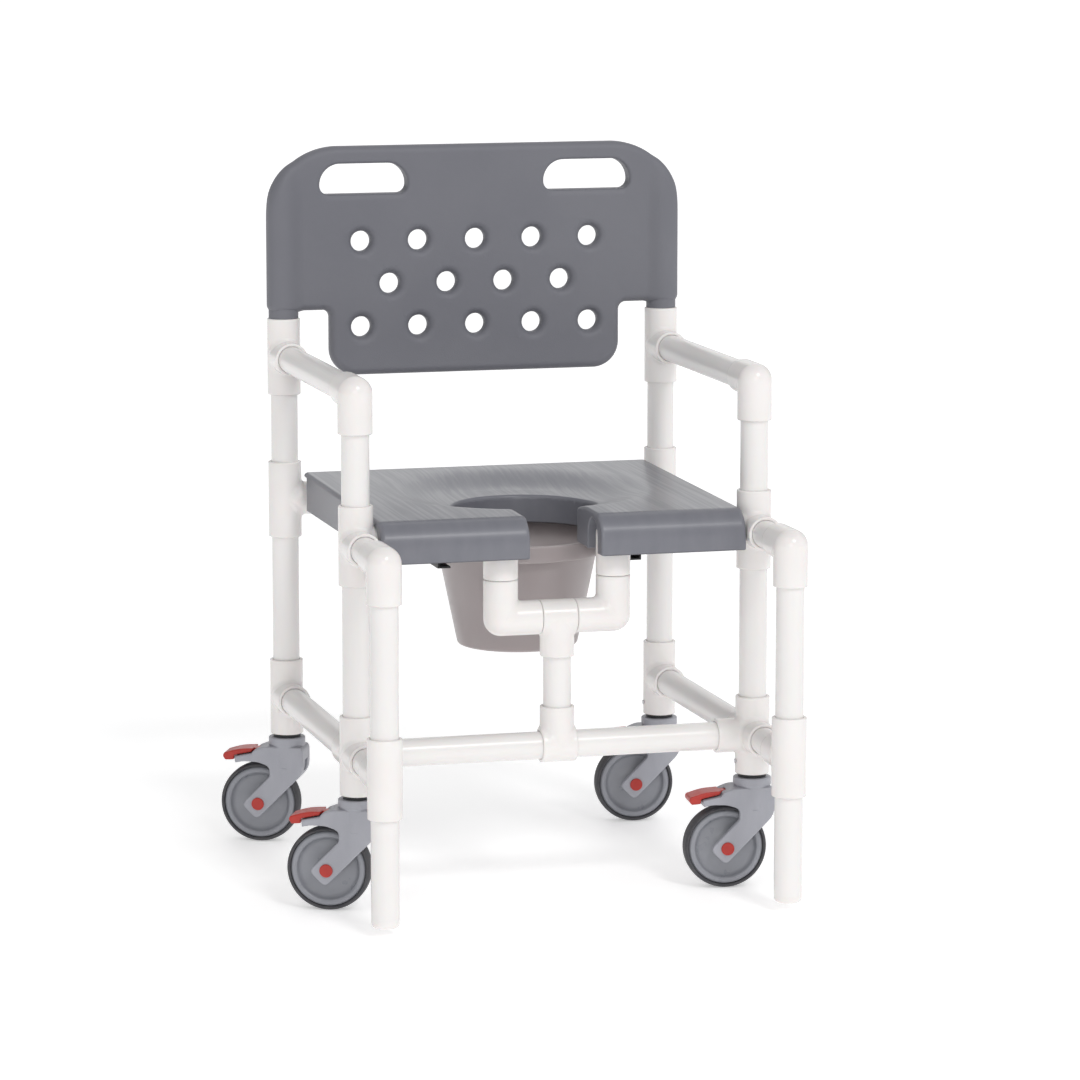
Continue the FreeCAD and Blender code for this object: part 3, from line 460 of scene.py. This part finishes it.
def make_steel():
    """Zinc-plated steel with faint brush lines."""
    shader = Shader("zinc_steel")
    brush = shader.noise(600, detail=3, stretch=(1, 1, 0.1))
    return shader.finish(
        Base_Color=shader.ramp(brush, (0.52, 0.52, 0.54), (0.64, 0.64, 0.66)),
        Metallic=1.0,
        Roughness=shader.ramp(brush, 0.26, 0.42),
        Normal=shader.bump(brush, 0.00004),
    )


def make_floor_paint():
    """Pale studio floor, bright enough to stay white under soft light."""
    shader = Shader("pale_floor")
    cloud = shader.noise(1.2, detail=2)
    return shader.finish(
        Base_Color=shader.ramp(cloud, (0.93, 0.93, 0.935), (0.95, 0.95, 0.95)),
        Roughness=0.6,
        Specular_IOR_Level=0.2,
        Emission_Color=(1.0, 1.0, 1.0, 1.0),
        Emission_Strength=0.34,
    )


# ---------------------------------------------------------------- pieces

def stand_for(piece, node, body, slot, material):
    """Put a finished piece in a CAD node's place."""
    piece.data.materials.append(material)
    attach(piece, body)
    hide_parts(node)


def make_backrest(material):
    """Blow-moulded back: flat panel, rounded rim, and a full column over each rear post."""
    low, high = box_mm("backrest")
    post_low, post_high = box_mm("back_posts")
    post_radius = 0.5 * (post_high[1] - post_low[1])
    post_x, post_y = post_high[0] - post_radius, 0.5 * (post_low[1] + post_high[1])
    half, top, tongue_bottom = high[0], high[2], low[2]

    half_thick, rim_round = 16.0, 12.0
    wing_bottom, wing_foot_round, wing_side_round = top - 256.5, 12.0, 6.0
    shoulder_round, shoulder_overhang = 115.3, 3.3
    tongue_half, tongue_foot_round = 236.0, 42.0
    tongue_root, tongue_root_round, tongue_fillet = top - 60, 20.0, 12.0
    column, column_top, column_fade = half - post_x - 0.5, top - 96.0, 0.35
    column_edge_round, column_fillet = 7.0, 10.0
    bore, bore_top = post_radius + 0.5, column_top - 7
    neck_inner, neck_outer = post_radius + 0.7, 23.4
    neck_bottom, neck_top = wing_bottom - 11.0, wing_bottom + 6
    slot_x, slot_half, slot_low, slot_high = 181.5, 71.0, top - 75.0, top - 27.0
    slot_low_round, slot_high_round, slot_edge_round = 14.0, 33.0, 5.0
    pitch, row_gap, middle_row, hole, hole_flare = 92.7, 67.5, top - 217.0, 16.0, 12.5
    rows = [(count, middle_row + step * row_gap) for step, count in ((1, 5), (0, 4), (-1, 5))]

    def holes(x, z):
        """Distance to the nearest of the staggered drain holes."""
        nearest = np.full(np.broadcast(x, z).shape, FAR)
        for count, height in rows:
            offset = 0.5 * pitch * (count - 1)
            number = np.clip(np.round((x + offset) / pitch), 0, count - 1)
            nearest = np.minimum(nearest, np.hypot(x - number * pitch + offset, z - height))
        return nearest - hole

    def field(x, y, z):
        arched = strip_end(x, z, half + shoulder_overhang, top, shoulder_round)
        arched = rounded_cut(arched, np.abs(x) - half, wing_side_round)
        wings = np.maximum(arched, strip_end(x, -z, half, -wing_bottom, wing_foot_round))
        tongue = rounded_rectangle(x, z, tongue_half, tongue_bottom, tongue_root,
                                   tongue_foot_round, tongue_root_round)
        outline = rounded_join(wings, tongue, tongue_fillet)
        panel = rounded_cut(outline, np.abs(y - post_y) - half_thick, rim_round)
        above = np.maximum(z - column_top, 0) * column_fade
        from_post = np.hypot(np.abs(x) - post_x, y - post_y)
        sleeve = rounded_cut(np.hypot(from_post, above) - column, wings, column_edge_round)
        solid = rounded_join(panel, sleeve, column_fillet)
        solid = rounded_cut(solid, -holes(x, z), hole_flare)
        slots = rounded_rectangle(np.abs(x) - slot_x, z, slot_half, slot_low, slot_high,
                                  slot_low_round, slot_high_round)
        solid = rounded_cut(solid, -slots, slot_edge_round)
        return np.maximum(solid, -np.maximum(from_post - bore, z - bore_top))

    def neck(centre_x):
        """Thin collar under a wing, round the post."""
        outline = [(neck_inner, neck_bottom), (neck_outer, neck_bottom),
                   (neck_outer, neck_top), (neck_inner, neck_top)]
        points, faces = turned_surface(outline)
        sign = np.tile([-1.0, 1.0, 1.0, -1.0], SEGMENTS)[:, None]
        normals = points * (1, 1, 0) * sign
        normals /= np.linalg.norm(normals, axis=1)[:, None]
        return points + (centre_x, post_y, 0), faces, normals

    shell = field_surface(field, low, high, 2.0)
    surface = joined_surfaces([shell, neck(post_x), neck(-post_x)])
    made = mesh_object("backrest_moulding", *surface)
    stand_for(made, "backrest", "backrest", "back_plastic", material)


def make_seat(material):
    """Open-front seat: dished round its keyhole, hollow underneath, hooked over the front rail."""
    low, high = box_mm("seat_shell")
    half, front, rear, top, rib_bottom = high[0], low[1], high[1], high[2], low[2]
    rail_low, rail_high = box_mm("rear_seat_rail")
    front_rail_low, front_rail_high = box_mm("front_seat_rails")
    rail_z = 0.5 * (rail_low[2] + rail_high[2])
    rail_y = 0.5 * (front_rail_low[1] + front_rail_high[1])

    rise = 5.5
    plate, wall, top_round, corner_round, rear_corner_round = 7.0, 5.0, 7.0, 3.0, 8.0
    opening, opening_y, mouth, opening_fillet, rim_round = 110.0, front + 242.0, 55.0, 10.0, 5.0
    dish_y, dish_reach, dish_floor, dish_depth = front + 295.0, 215.0, 100.0, 20.0
    nose_height, nose_depth, nose_round, crease_round = 20.0, 26.0, 5.0, 17.0
    lip_bottom, throat_bottom, skirt_bottom = rib_bottom + 2, rib_bottom + 3.5, rib_bottom + 10
    lip_back, rebate, pocket_round = rail_y + 32.0, rear - 23.0, 3.0
    rib_inner, rib_outer, rib_front, rib_rear, rib_root = 145.0, 155.0, -150.0, 200.0, 3.0
    pad_inner, pad_outer, pad_front, pad_bottom = 110.0, 230.0, rebate - 2.0, rail_z + 21.5
    channel, channel_edge_round = 26.5, 2.0
    cavity_top, cavity_front = top - nose_height - 9.0, front + 7.5
    cavity_rear = rail_y - channel - 2.5

    def dish(x, y):
        """How far the top sinks at a place."""
        spread = np.hypot(x, y - dish_y)
        return dish_depth * eased((dish_reach - spread) / (dish_reach - dish_floor))

    def keyhole(x, y):
        """Plan distance to the opening: a circle with a slot that runs out of the front."""
        circle = np.hypot(x, y - opening_y) - opening
        slot = np.maximum(np.abs(x) - mouth, y - opening_y)
        return rounded_join(circle, slot, opening_fillet)

    def field(x, y, z):
        share = np.clip((y - front - nose_depth) / (rear - front - nose_depth), 0, 1)
        surface = z - top - rise * share + dish(x, y)
        nose = (z - top) * nose_depth + (front + nose_depth - y) * nose_height
        upper = rounded_cut(surface, nose / math.hypot(nose_height, nose_depth), nose_round)
        upper = rounded_cut(upper, front - y, crease_round)
        plan = rounded_rectangle(x, y, half, front, rear, corner_round, rear_corner_round)
        hole = keyhole(x, y)
        body = rounded_cut(rounded_cut(upper, plan, top_round), -hole, rim_round)
        body = np.maximum(body, lip_bottom - z)

        behind_lip = lip_back - y
        body = np.maximum(body, -np.maximum(z - throat_bottom, behind_lip))
        under_skirt = np.maximum(z - skirt_bottom, behind_lip)
        body = np.maximum(body, -np.maximum(under_skirt, wall - hole))
        inner_plan = rounded_rectangle(x, y, half - wall, lip_back, rebate, 2.0, 4.0)
        pocket = rounded_cut(surface + plate, inner_plan, pocket_round)
        body = np.maximum(body, -rounded_cut(pocket, wall - hole, pocket_round))
        body = np.maximum(body, -np.maximum(rebate - y, surface + plate))
        under_top = np.maximum(surface + rib_root, plan)
        ribs = np.maximum(slab(np.abs(x), rib_inner, rib_outer), slab(y, rib_front, rib_rear))
        ribs = np.maximum(np.maximum(ribs, rib_bottom - z), under_top)
        pads = np.maximum(slab(np.abs(x), pad_inner, pad_outer), pad_front - y)
        pads = np.maximum(np.maximum(pads, pad_bottom - z), under_top)
        body = np.minimum(np.minimum(body, ribs), pads)

        arch = np.hypot(y - rail_y, np.maximum(z - rail_z, 0)) - channel
        body = rounded_cut(body, -arch, channel_edge_round)
        cavity = np.maximum(slab(np.abs(x), mouth + wall, half - wall), z - cavity_top)
        return np.maximum(body, -np.maximum(cavity, slab(y, cavity_front, cavity_rear)))

    made = mesh_object("seat_moulding", *field_surface(field, low, high + (0, 0, rise), 2.0))
    stand_for(made, "seat_shell", "seat", "seat_plastic", material)


def make_pail(material):
    """Pail with a rolled foot and a band turned down round its mouth."""
    low, high = box_mm("pail")
    centre = 0.5 * (low + high)
    bottom, top, band = low[2], high[2], 0.5 * (high[0] - low[0])
    wall, mouth, foot = 2.5, band - 7.5, band - 42.0
    foot_rise, band_bottom, band_floor = bottom + 2, top - 25.1, top - 3.5
    inner_bottom, axis = bottom + wall + 2, 0.01
    outside = [(axis, foot_rise), (foot - 14, foot_rise), (foot - 12, bottom), (foot, bottom),
               (mouth, band_floor)]
    rim = [(band - 4, band_floor), (band - 3, band_bottom), (band, band_bottom), (band - 0.6, top)]
    inside = [(mouth - wall, top), (foot - wall, inner_bottom), (axis, inner_bottom)]
    outline = softened(outside + rim + inside, [0, 1, 1, 9, 1, 1, 1, 1, 2.5, 3, 8, 0])
    made = mesh_object("pail_moulding", *turned_surface(outline))
    made.location.x = centre[0] * MM
    made.location.y = centre[1] * MM
    stand_for(made, "pail", "pail", "pail_plastic", material)


def fitting_surface(hub, runs):
    """One socket fitting. A run is (axis, low, high) from the hub, round where it ends at it."""
    radius, mouth_round, fillet, fillet_fade = 26.0, 1.6, 6.0, 14.0
    bore, socket, stop = 17.5, 21.2, 27.0

    def run_parts(x, y, z, axis, low, high):
        """How far along a run a point is, how far from its line, and how far past its mouth."""
        offsets = (x - hub[0], y - hub[1], z - hub[2])
        along = offsets[axis]
        across = np.hypot(offsets[(axis + 1) % 3], offsets[(axis + 2) % 3])
        if low < 0 < high:
            return np.abs(along), across, across, slab(along, low, high)
        progress = along if high > 0 else -along
        from_line = np.hypot(across, np.minimum(progress, 0))
        return progress, from_line, across, progress - max(high, -low)

    def field(x, y, z):
        solid, reach, hollow = None, None, None
        for axis, low, high in runs:
            progress, from_line, across, beyond = run_parts(x, y, z, axis, low, high)
            body = rounded_cut(from_line - radius, beyond, mouth_round)
            slips_over = high - low < 2 * stop + 1
            pocket = across - socket if slips_over else np.maximum(across - socket, stop - progress)
            inside = np.minimum(from_line - bore, pocket)
            if solid is None:
                solid, reach, hollow = body, progress, inside
                continue
            corner = fillet * np.clip(np.minimum(reach, progress) / fillet_fade, 0, 1)
            solid = rounded_join(solid, body, corner)
            reach, hollow = np.maximum(reach, progress), np.minimum(hollow, inside)
        return np.maximum(solid, -hollow)

    span = np.array([[-radius] * 3, [radius] * 3])
    for axis, low, high in runs:
        span[0, axis] = min(span[0, axis], low)
        span[1, axis] = max(span[1, axis], high)
    return field_surface(field, hub + span[0], hub + span[1], 1.6)


def make_fittings(material):
    """Socket fittings with a fillet where their legs meet."""
    post_low, post_high = box_mm("back_posts")
    leg, half_run, radius = 60.0, 27.0, 0.5 * (post_high[1] - post_low[1])

    def middle(node, axis):
        """Middle of a CAD node along an axis."""
        low, high = box_mm(node)
        return 0.5 * (low[axis] + high[axis])

    side, drop_side = post_high[0] - radius, box_mm("drop_nipples")[1][0] - radius
    rear, front = middle("back_posts", 1), middle("front_upright_pipes", 1)
    outrigger = middle("outrigger_posts", 1)
    low, seat, arm = (middle(node, 2) for node in ("lower_side_rails", "rear_seat_rail", "arm_rails"))
    drop = middle("drop_cross_pipe", 2)
    upright, down, up = (2, -leg, leg), (2, -leg, 0), (2, 0, leg)
    level, forward, rearward = (1, -leg, leg), (1, -leg, 0), (1, 0, leg)
    inward, outward, crossing = (0, -leg, 0), (0, 0, leg), (0, -half_run, half_run)
    paired = {
        "rear_lower_tees": [((side, rear, low), [upright, forward])],
        "rear_seat_tees": [((side, rear, seat), [upright, inward])],
        "arm_tees": [((side, rear, arm), [upright, forward])],
        "arm_elbows": [((side, front, arm), [rearward, down])],
        "front_seat_crosses": [((side, front, seat), [upright, forward, inward])],
        "front_lower_crosses": [((side, front, low), [upright, level, inward])],
        "outrigger_elbows": [((side, outrigger, seat), [rearward, down])],
        "outrigger_tees": [((side, outrigger, low), [upright, rearward])],
        "drop_elbows": [((drop_side, front, seat), [outward, down]),
                        ((drop_side, front, drop), [up, inward])],
    }
    single = {
        "drop_tee": [((0.0, front, drop), [crossing, down])],
        "cross_rail_tee": [((0.0, front, low), [crossing, up])],
    }
    for node, pieces in {**paired, **single}.items():
        surfaces = [fitting_surface(np.array(hub), runs) for hub, runs in pieces]
        if node in paired:
            surfaces += [mirror_image(surface) for surface in surfaces]
        made = mesh_object(f"{node}_moulding", *joined_surfaces(surfaces))
        stand_for(made, node, "frame", "white_pvc", material)


# A caster is built about its stem on Z, with the wheel trailing along +X.

TRAIL, AXLE_HEIGHT, PIVOT = 42.5, 63.5, (38.0, 147.0)
FORK_HALF_WIDTH, NECK_RADIUS, COLLAR_RADIUS = 27.0, 27.8, 29.0
NECK_BOTTOM, COLLAR_BOTTOM, COLLAR_TOP = 122.0, 157.5, 170.2
WELL_RADIUS, WELL_HALF_WIDTH, STEM_HOLE, AXLE_HOLE = 66.5, 17.5, 5.8, 4.2
ROOM_HALF_WIDTH, TREAD_HALF_WIDTH, LUG_HALF_WIDTH = 10.0, 20.0, 9.5
TRUNNION_RADIUS, TRUNNION_HALF_WIDTH = 3.0, 16.0

FORK_OUTLINE = softened(
    [(-31, 114.5), (TRAIL + 2.5, AXLE_HEIGHT - 25.5), (TRAIL + 26.5, AXLE_HEIGHT - 1.5),
     (23.5, 108), (23.5, 124), (TRAIL, 130.5), (66, 131.5), (79.5, 128.5), (80.5, 138.5),
     (52.5, 144.5), (49, 150.0), (34, 156), (-28, 156), (-31, 150)],
    [14, 9, 9, 3, 8, 4, 6, 2, 2, 1, 3, 6, 3, 3])
TREAD_OUTLINE = softened(
    [(50.8, 151.6), (54, 145.8), (82, 139.8), (83, 132.6), (97, 131.6), (101, 137.5),
     (99.5, 143), (76, 150.2)],
    [1.5, 1, 1.5, 1, 2, 3, 4, 14])
LUG_OUTLINE = [(52, 150.6), (60, 149), (55, 146.2), (39, 141.5), (33, 144), (34, 149.5), (40, 151)]


def fork_field(x, y, z):
    """Collar, hood and two slanted arms, with room for the wheel, the pedal's lug and a window."""
    from_stem = np.hypot(x, y)
    from_axle = np.hypot(x - TRAIL, z - AXLE_HEIGHT)
    from_pivot = np.hypot(x - PIVOT[0], z - PIVOT[1])
    arms = rounded_cut(outline_distance(FORK_OUTLINE, x, z), np.abs(y) - FORK_HALF_WIDTH, 2.5)
    collar = rounded_cut(from_stem - COLLAR_RADIUS, slab(z, COLLAR_BOTTOM, COLLAR_TOP), 2.0)
    neck = rounded_cut(from_stem - NECK_RADIUS, slab(z, NECK_BOTTOM, COLLAR_BOTTOM + 2.5), 1.0)
    body = rounded_join(np.minimum(arms, neck), collar, 1.5)
    well = np.maximum(from_axle - WELL_RADIUS, np.abs(y) - WELL_HALF_WIDTH)
    body = rounded_cut(body, -well, 1.0)
    body = np.maximum(body, STEM_HOLE - from_stem)
    body = np.maximum(body, AXLE_HOLE - from_axle)
    room = np.abs(y) - ROOM_HALF_WIDTH
    lug_room = np.maximum(np.maximum(slab(x, 28.0, 62.0), slab(z, 138.0, 152.4)), room)
    window = np.maximum(np.maximum(slab(x, -40.0, -24.0), slab(z, 116.0, 134.0)), room)
    trunnion_room = np.maximum(from_pivot - TRUNNION_RADIUS - 0.3,
                               np.abs(y) - TRUNNION_HALF_WIDTH - 0.5)
    return np.maximum(body, -np.minimum(np.minimum(lug_room, trunnion_room), window))


def pedal_field(x, y, z):
    """Brake pedal: a tread that follows the hood, and the lug and trunnion that it turns on."""
    tread = rounded_cut(outline_distance(TREAD_OUTLINE, x, z), np.abs(y) - TREAD_HALF_WIDTH, 2.0)
    lug = rounded_cut(outline_distance(LUG_OUTLINE, x, z), np.abs(y) - LUG_HALF_WIDTH, 0.5)
    from_pivot = np.hypot(x - PIVOT[0], z - PIVOT[1])
    trunnion = np.maximum(from_pivot - TRUNNION_RADIUS, np.abs(y) - TRUNNION_HALF_WIDTH)
    return np.minimum(tread, np.minimum(lug, trunnion))


def both_faces(half, radii):
    """An outline of (radius, height) whose lower face mirrors its upper one."""
    mirrored = [(radius, -height) for radius, height in reversed(half)]
    return softened(half + mirrored, radii + radii[::-1])


def wheel_outline():
    """Hub, dished web and rounded rim bead."""
    half = [(4.1, 16.4), (11.5, 16.4), (14, 10.5), (20, 7.0), (32, 4.6), (42, 5.0), (45.5, 7.5),
            (47.5, 13.2), (50.5, 14.6), (54.5, 14.2), (56.9, 11.0)]
    return both_faces(half, [0.5, 2, 4, 5, 8, 6, 3, 3, 2.5, 2, 1])


def tyre_outline():
    """Tread, shoulders and side walls."""
    half = [(57.1, 12.0), (58.2, 14.6), (60.5, 14.9), (62.9, 11.5), (63.5, 5.5)]
    return both_faces(half, [0.3, 1, 2, 3, 3])


def on_axle(surface):
    """Lay a turned piece level, its axis along the axle."""
    points, faces = surface
    x, y, z = points.T
    return np.stack([x + TRAIL, -z, y + AXLE_HEIGHT], axis=1), faces


def turned_about_z(vectors, heading):
    """Points or normals turned to a heading in degrees."""
    turn = math.radians(heading)
    x, y, z = vectors.T
    turned_x = x * math.cos(turn) - y * math.sin(turn)
    turned_y = x * math.sin(turn) + y * math.cos(turn)
    return np.stack([turned_x, turned_y, z], axis=1)


def make_casters(materials):
    """Four casters alike, each on its own heading."""
    stem_head_radius = 8.5
    _, stem_high = box_mm("caster_stems")
    side, end = stem_high[0] - stem_head_radius, stem_high[1] - stem_head_radius
    fork = field_surface(fork_field, (-32, -28, 37), (82, 28, 171), 1.3)
    pedal = field_surface(pedal_field, (32, -21, 130), (102, 21, 153), 1.2)
    wheel = on_axle(turned_surface(wheel_outline()))
    tyre = on_axle(turned_surface(tyre_outline()))
    masters = [
        ("fork", fork, "fork", "caster_plastic", "caster"),
        ("brake_pedal", pedal, "pedal", "red_plastic", "red"),
        ("wheel", wheel, "wheel", "wheel_plastic", "wheel"),
        ("tyre", tyre, "wheel", "tyre_rubber", "tyre"),
    ]
    corners = [("front_right", -1, -1, 155), ("front_left", 1, -1, 174),
               ("rear_right", -1, 1, 155), ("rear_left", 1, 1, 174)]
    for corner, across, along, heading in corners:
        for node, (points, faces, *normals), body, slot, look in masters:
            moved = turned_about_z(points, heading) + (across * side, along * end, 0)
            turned = [turned_about_z(each, heading) for each in normals]
            made = mesh_object(f"{node}_{corner}_moulding", moved, faces, *turned)
            stand_for(made, f"{node}_{corner}", f"{body}_{corner}", slot, materials[look])


# ---------------------------------------------------------------- carried-over CAD nodes

def finish_nodes(materials):
    """Give every CAD node its material, picked by the longest start that fits its name."""
    by_start = {
        "rear_upright_pipes": "pipe_z", "front_upright_pipes": "pipe_z", "arm_rails": "pipe_y",
        "lower_side_rails": "pipe_y", "outrigger_links": "pipe_y", "outrigger_posts": "pipe_z",
        "back_posts": "pipe_z", "rear_seat_rail": "pipe_x", "outrigger_legs": "pipe_z",
        "drop_nipples": "pipe_z", "drop_cross_pipe": "pipe_x", "drop_pipe": "pipe_z",
        "front_cross_rail": "pipe_x", "front_seat_rails": "pipe_x", "caster_inserts": "black",
        "insert_screws": "steel", "caster_stems": "steel", "rail_screws": "steel",
        "pail_rails": "black", "fork_": "caster", "brake_pedal_": "red", "axle_caps_": "red",
        "axle_": "steel", "wheel_": "wheel", "tyre_": "tyre", "backrest": "back",
        "seat_shell": "seat", "pail": "pail",
    }
    for name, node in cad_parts.items():
        starts = [start for start in by_start if name.startswith(start)]
        key = by_start[max(starts, key=len)] if starts else "fitting"
        node.data.materials.clear()
        node.data.materials.append(materials[key])


# ---------------------------------------------------------------- stage

def add_soft_sun(name, azimuth, elevation, strength, spread, tint=(1, 1, 1)):
    """A broad even light from a compass direction, 0 being the chair's front and 90 its left."""
    lamp = bpy.data.lights.new(name, "SUN")
    lamp.energy = strength
    lamp.angle = math.radians(spread)
    lamp.color = tint
    holder = bpy.data.objects.new(name, lamp)
    turn, rise = math.radians(azimuth), math.radians(elevation)
    level = math.cos(rise)
    away = Vector((math.sin(turn) * level, -math.cos(turn) * level, math.sin(rise)))
    holder.rotation_euler = away.to_track_quat("Z", "Y").to_euler()
    bpy.context.scene.collection.objects.link(holder)


def build_stage(floor_paint):
    """Floor, even sky and six soft lights."""
    reach = 60.0
    corners = [(-reach, -reach, 0), (reach, -reach, 0), (reach, reach, 0), (-reach, reach, 0)]
    mesh = bpy.data.meshes.new("floor")
    mesh.from_pydata(corners, [], [(0, 1, 2, 3)])
    floor = bpy.data.objects.new("floor", mesh)
    bpy.context.scene.collection.objects.link(floor)
    floor.data.materials.append(floor_paint)

    world = bpy.data.worlds.new("studio")
    world.use_nodes = True
    background = world.node_tree.nodes["Background"]
    background.inputs["Color"].default_value = (1.0, 1.0, 1.0, 1.0)
    background.inputs["Strength"].default_value = 0.42
    bpy.context.scene.world = world
    bpy.context.scene.view_settings.view_transform = "Standard"

    add_soft_sun("key", -50, 48, 0.22, 35, (1.0, 0.985, 0.97))
    add_soft_sun("front", -14, 17, 0.36, 26)
    add_soft_sun("fill", 70, 35, 0.35, 60, (0.98, 0.985, 1.0))
    add_soft_sun("back", 160, 45, 0.30, 50)
    add_soft_sun("sheen", 165, 16, 0.08, 24)
    add_soft_sun("softbox", 12, 43, 0.76, 14)


def build_camera():
    """The photograph's viewpoint: far off, above the seat, in front and to the chair's right."""
    lens = bpy.data.cameras.new("camera")
    lens.sensor_width = 36.0
    lens.lens = 157.47
    camera = bpy.data.objects.new("camera", lens)
    camera.location = (-1.8683, -6.9763, 1.6456)
    camera.rotation_euler = (math.radians(81.0624), 0.0, math.radians(-15.3058))
    bpy.context.scene.collection.objects.link(camera)
    bpy.context.scene.camera = camera


build_camera()
materials = {
    "pipe_x": make_pipe_pvc("x"), "pipe_y": make_pipe_pvc("y"), "pipe_z": make_pipe_pvc("z"),
    "fitting": make_fitting_pvc(), "back": make_back_plastic(), "seat": make_seat_plastic(),
    "pail": make_pail_plastic(), "black": make_black_plastic(), "caster": make_caster_plastic(),
    "wheel": make_wheel_plastic(), "red": make_red_plastic(), "tyre": make_tyre_rubber(),
    "steel": make_steel(),
}
finish_nodes(materials)
make_backrest(materials["back"])
make_seat(materials["seat"])
make_pail(materials["pail"])
make_fittings(materials["fitting"])
make_casters(materials)
build_stage(make_floor_paint())
